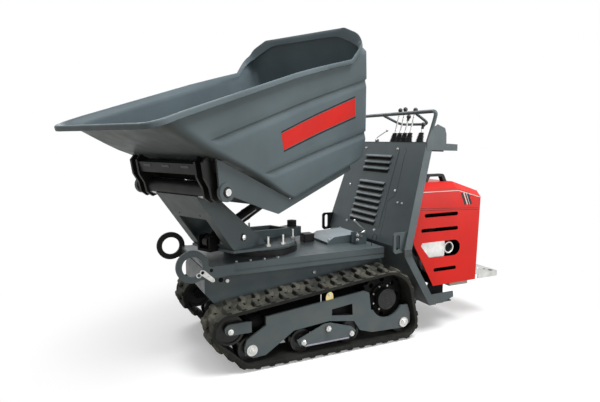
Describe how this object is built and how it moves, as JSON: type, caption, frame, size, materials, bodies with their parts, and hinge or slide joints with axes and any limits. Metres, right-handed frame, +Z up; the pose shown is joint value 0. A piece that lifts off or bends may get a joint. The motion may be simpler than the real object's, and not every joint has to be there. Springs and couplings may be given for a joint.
{
  "type": "tracked power carrier",
  "caption": "Compact tracked dumper with a swivelling, forward tipping skip on a turntable, rubber tracks, a leaning control console, a rear engine cowl and a fold-up step.",
  "frame": {"origin": "on the ground, on the centre plane, below the bogie pivots", "axes": "+X forward to the tipping side, +Y to the machine's left, +Z up"},
  "size_m": [3.0421, 1.5921, 2.1179],
  "materials": {
    "satin_paint": "satin blue-grey paint",
    "red_paint": "gloss red paint",
    "black_paint": "satin black paint",
    "belt_rubber": "dusty moulded rubber",
    "soft_rubber": "matt black rubber",
    "plated_steel": "zinc plated",
    "chromed_rod": "hard chrome",
    "cast_alloy": "as cast",
    "heat_steel": "heat stained",
    "tank_plastic": "moulded black plastic",
    "lever_steel": "black rod with a plastic ball knob"
  },
  "bodies": {
    "chassis": {"main_frame": "satin_paint", "deck_plate": "satin_paint", "tie_down_eyes": "satin_paint", "track_frame_left": "satin_paint", "track_frame_right": "satin_paint", "track_belt_left": "belt_rubber", "track_belt_right": "belt_rubber", "drive_motor_left": "black_paint", "drive_motor_right": "black_paint", "slew_ring": "black_paint", "deck_cover": "satin_paint", "console_shell": "satin_paint", "louvre_cover": "satin_paint", "console_top": "satin_paint", "hand_plates": "satin_paint", "grab_rail": "satin_paint", "side_guard": "satin_paint", "valve_block": "cast_alloy", "lever_boots": "soft_rubber", "engine_base": "satin_paint", "engine": "cast_alloy", "muffler": "heat_steel", "fuel_tank": "tank_plastic", "hydraulic_tank": "satin_paint", "hydraulic_pump": "cast_alloy", "cowl": "red_paint", "cowl_handle": "black_paint", "frame_bolts": "plated_steel"},
    "turntable": {"turntable": "satin_paint", "tip_post": "satin_paint", "rubber_buffer": "soft_rubber"},
    "tipping_skip": {"hinge_pin": "plated_steel", "skip_carrier": "satin_paint", "skip": "satin_paint"},
    "ram_barrel": {"ram_barrel": "black_paint"},
    "ram_rod": {"ram_rod": "chromed_rod"},
    "swivel_lock": {"swivel_lock": "plated_steel"},
    "step_plate": {"step_plate": "plated_steel"},
    "sprocket_left": {"sprocket_left": "black_paint"},
    "idler_fork_left": {"idler_fork_left": "satin_paint"},
    "idler_left": {"idler_left": "black_paint"},
    "front_roller_left": {"front_roller_left": "black_paint"},
    "rear_roller_left": {"rear_roller_left": "black_paint"},
    "bogie_left": {"bogie_left": "satin_paint"},
    "bogie_front_roller_left": {"bogie_front_roller_left": "black_paint"},
    "bogie_rear_roller_left": {"bogie_rear_roller_left": "black_paint"},
    "sprocket_right": {"sprocket_right": "black_paint"},
    "idler_fork_right": {"idler_fork_right": "satin_paint"},
    "idler_right": {"idler_right": "black_paint"},
    "front_roller_right": {"front_roller_right": "black_paint"},
    "rear_roller_right": {"rear_roller_right": "black_paint"},
    "bogie_right": {"bogie_right": "satin_paint"},
    "bogie_front_roller_right": {"bogie_front_roller_right": "black_paint"},
    "bogie_rear_roller_right": {"bogie_rear_roller_right": "black_paint"},
    "lever_1": {"lever_1": "lever_steel"},
    "lever_2": {"lever_2": "lever_steel"},
    "lever_3": {"lever_3": "lever_steel"},
    "lever_4": {"lever_4": "lever_steel"},
    "short_lever": {"short_lever": "lever_steel"},
    "throttle_lever": {"throttle_lever": "plated_steel"}
  },
  "joints": [
    {"name": "sprocket_left_spin", "type": "hinge", "parent": "chassis", "child": "sprocket_left", "pos_m": [-0.457, 0.385, 0.299], "axis": [0, 1, 0], "continuous": true},
    {"name": "idler_fork_left_takeup", "type": "slide", "parent": "chassis", "child": "idler_fork_left", "axis": [1, 0, 0], "range_m": [-0.018, 0], "deforming": ["track_belt_left"]},
    {"name": "idler_left_spin", "type": "hinge", "parent": "idler_fork_left", "child": "idler_left", "pos_m": [0.635, 0.385, 0.257], "axis": [0, 1, 0], "continuous": true},
    {"name": "front_roller_left_spin", "type": "hinge", "parent": "chassis", "child": "front_roller_left", "pos_m": [0.506, 0.385, 0.1223], "axis": [0, 1, 0], "continuous": true},
    {"name": "rear_roller_left_spin", "type": "hinge", "parent": "chassis", "child": "rear_roller_left", "pos_m": [-0.591, 0.385, 0.1223], "axis": [0, 1, 0], "continuous": true},
    {"name": "bogie_left_rock", "type": "hinge", "parent": "chassis", "child": "bogie_left", "pos_m": [0, 0.385, 0.178], "axis": [0, 1, 0], "range_deg": [-4, 4], "deforming": ["track_belt_left"]},
    {"name": "bogie_front_roller_left_spin", "type": "hinge", "parent": "bogie_left", "child": "bogie_front_roller_left", "pos_m": [0.172, 0.385, 0.1153], "axis": [0, 1, 0], "continuous": true},
    {"name": "bogie_rear_roller_left_spin", "type": "hinge", "parent": "bogie_left", "child": "bogie_rear_roller_left", "pos_m": [-0.172, 0.385, 0.1153], "axis": [0, 1, 0], "continuous": true},
    {"name": "sprocket_right_spin", "type": "hinge", "parent": "chassis", "child": "sprocket_right", "pos_m": [-0.457, -0.385, 0.299], "axis": [0, 1, 0], "continuous": true},
    {"name": "idler_fork_right_takeup", "type": "slide", "parent": "chassis", "child": "idler_fork_right", "axis": [1, 0, 0], "range_m": [-0.018, 0], "deforming": ["track_belt_right"]},
    {"name": "idler_right_spin", "type": "hinge", "parent": "idler_fork_right", "child": "idler_right", "pos_m": [0.635, -0.385, 0.257], "axis": [0, 1, 0], "continuous": true},
    {"name": "front_roller_right_spin", "type": "hinge", "parent": "chassis", "child": "front_roller_right", "pos_m": [0.506, -0.385, 0.1223], "axis": [0, 1, 0], "continuous": true},
    {"name": "rear_roller_right_spin", "type": "hinge", "parent": "chassis", "child": "rear_roller_right", "pos_m": [-0.591, -0.385, 0.1223], "axis": [0, 1, 0], "continuous": true},
    {"name": "bogie_right_rock", "type": "hinge", "parent": "chassis", "child": "bogie_right", "pos_m": [0, -0.385, 0.178], "axis": [0, 1, 0], "range_deg": [-4, 4], "deforming": ["track_belt_right"]},
    {"name": "bogie_front_roller_right_spin", "type": "hinge", "parent": "bogie_right", "child": "bogie_front_roller_right", "pos_m": [0.172, -0.385, 0.1153], "axis": [0, 1, 0], "continuous": true},
    {"name": "bogie_rear_roller_right_spin", "type": "hinge", "parent": "bogie_right", "child": "bogie_rear_roller_right", "pos_m": [-0.172, -0.385, 0.1153], "axis": [0, 1, 0], "continuous": true},
    {"name": "swivel", "type": "hinge", "parent": "chassis", "child": "turntable", "pos_m": [0.27, 0, 0.62], "axis": [0, 0, 1], "range_deg": [-115.85, 64.15]},
    {"name": "tip", "type": "hinge", "parent": "turntable", "child": "tipping_skip", "pos_m": [0.85676, 0.28428, 1.088], "axis": [-0.436, 0.8999, 0], "range_deg": [-16.25, 48.75]},
    {"name": "ram_swing", "type": "hinge", "parent": "turntable", "child": "ram_barrel", "pos_m": [0.68397, 0.20057, 0.745], "axis": [-0.436, 0.8999, 0], "range_deg": [-16, 46]},
    {"name": "ram_stroke", "type": "slide", "parent": "ram_barrel", "child": "ram_rod", "axis": [-0.8347, -0.4044, 0.3738], "range_m": [-0.11, 0.33]},
    {"name": "lever_1_swing", "type": "hinge", "parent": "chassis", "child": "lever_1", "pos_m": [-0.843, -0.04, 1.358], "axis": [0, 1, 0], "range_deg": [-10, 10], "stiffness_Nm_per_rad": 3, "deforming": ["lever_boots"]},
    {"name": "lever_2_swing", "type": "hinge", "parent": "chassis", "child": "lever_2", "pos_m": [-0.843, 0.022, 1.358], "axis": [0, 1, 0], "range_deg": [-10, 10], "stiffness_Nm_per_rad": 3, "deforming": ["lever_boots"]},
    {"name": "lever_3_swing", "type": "hinge", "parent": "chassis", "child": "lever_3", "pos_m": [-0.843, 0.084, 1.358], "axis": [0, 1, 0], "range_deg": [-10, 10], "stiffness_Nm_per_rad": 3, "deforming": ["lever_boots"]},
    {"name": "lever_4_swing", "type": "hinge", "parent": "chassis", "child": "lever_4", "pos_m": [-0.843, 0.146, 1.358], "axis": [0, 1, 0], "range_deg": [-10, 10], "stiffness_Nm_per_rad": 3, "deforming": ["lever_boots"]},
    {"name": "short_lever_swing", "type": "hinge", "parent": "chassis", "child": "short_lever", "pos_m": [-0.843, 0.275, 1.358], "axis": [0, 1, 0], "range_deg": [-10, 10], "stiffness_Nm_per_rad": 3, "deforming": ["lever_boots"]},
    {"name": "throttle_lever_swing", "type": "hinge", "parent": "chassis", "child": "throttle_lever", "pos_m": [-0.843, -0.262, 1.358], "axis": [0, 1, 0], "range_deg": [-10, 10]},
    {"name": "swivel_lock_lift", "type": "hinge", "parent": "chassis", "child": "swivel_lock", "pos_m": [-0.43, 0.14, 0.682], "axis": [0, 1, 0], "range_deg": [-55, 0]},
    {"name": "step_fold", "type": "hinge", "parent": "chassis", "child": "step_plate", "pos_m": [-1.33, 0, 0.33], "axis": [0, 1, 0], "range_deg": [0, 80]}
  ],
  "couplings": [
    {"joint": "idler_left_spin", "follows": "sprocket_left_spin", "ratio": 1.8495},
    {"joint": "front_roller_left_spin", "follows": "sprocket_left_spin", "ratio": 2.15},
    {"joint": "rear_roller_left_spin", "follows": "sprocket_left_spin", "ratio": 2.15},
    {"joint": "bogie_front_roller_left_spin", "follows": "sprocket_left_spin", "ratio": 2.3562},
    {"joint": "bogie_rear_roller_left_spin", "follows": "sprocket_left_spin", "ratio": 2.3562},
    {"joint": "idler_right_spin", "follows": "sprocket_right_spin", "ratio": 1.8495},
    {"joint": "front_roller_right_spin", "follows": "sprocket_right_spin", "ratio": 2.15},
    {"joint": "rear_roller_right_spin", "follows": "sprocket_right_spin", "ratio": 2.15},
    {"joint": "bogie_front_roller_right_spin", "follows": "sprocket_right_spin", "ratio": 2.3562},
    {"joint": "bogie_rear_roller_right_spin", "follows": "sprocket_right_spin", "ratio": 2.3562},
    {"joint": "ram_swing", "follows": "tip", "ratio": 0.93},
    {"joint": "ram_stroke", "follows": "tip", "m_per_rad": 0.3794}
  ]
}
